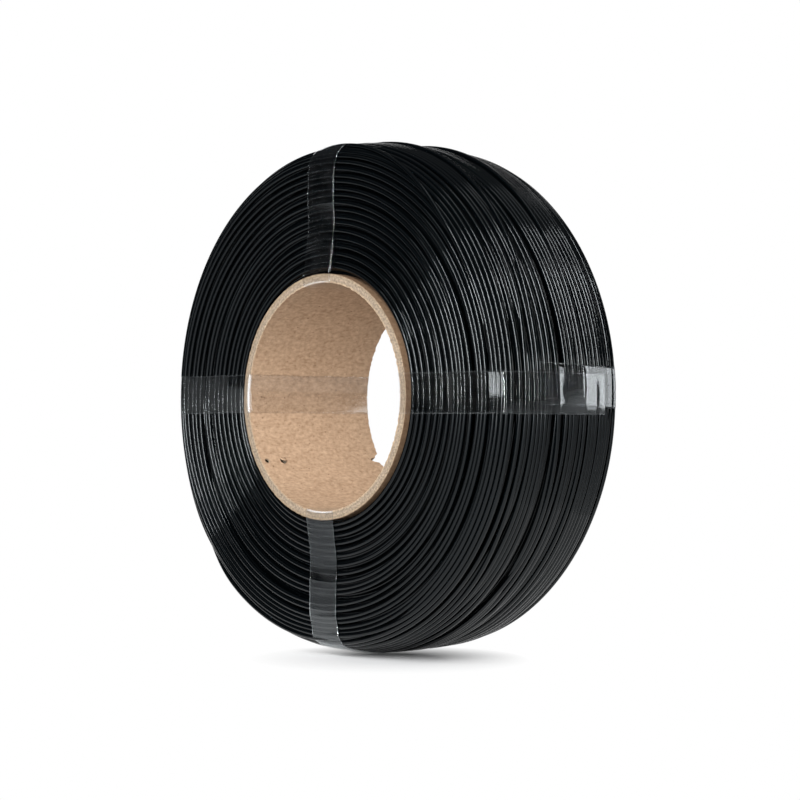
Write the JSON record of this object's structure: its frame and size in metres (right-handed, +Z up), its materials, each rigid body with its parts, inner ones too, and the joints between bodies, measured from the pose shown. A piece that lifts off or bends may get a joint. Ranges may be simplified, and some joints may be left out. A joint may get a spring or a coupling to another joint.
{
  "type": "filament spool",
  "caption": "Flangeless refill coil of round black filament wound on a plain cardboard core tube and held by clear tape strips through its bore.",
  "frame": {"origin": "middle of the core's bore, on the axis, halfway between the two rims", "axes": "+Y along the coil's axis from its near face to its far face, +Z up with the coil standing on its rim, +X to the right seen from the near face"},
  "size_m": [0.1951, 0.0622, 0.195],
  "materials": {
    "cardboard": "matt brown kraft board, fibrous, with a rough cut rim",
    "filament": "near-black glossy thermoplastic strand",
    "clear_tape": "clear glossy plastic film"
  },
  "bodies": {
    "root": {"core_tube": "cardboard", "filament_pack": "filament", "filament_outer_layer": "filament", "filament_start": "filament", "tape_top": "clear_tape", "tape_bottom": "clear_tape", "tape_left": "clear_tape", "tape_right": "clear_tape"}
  },
  "joints": []
}
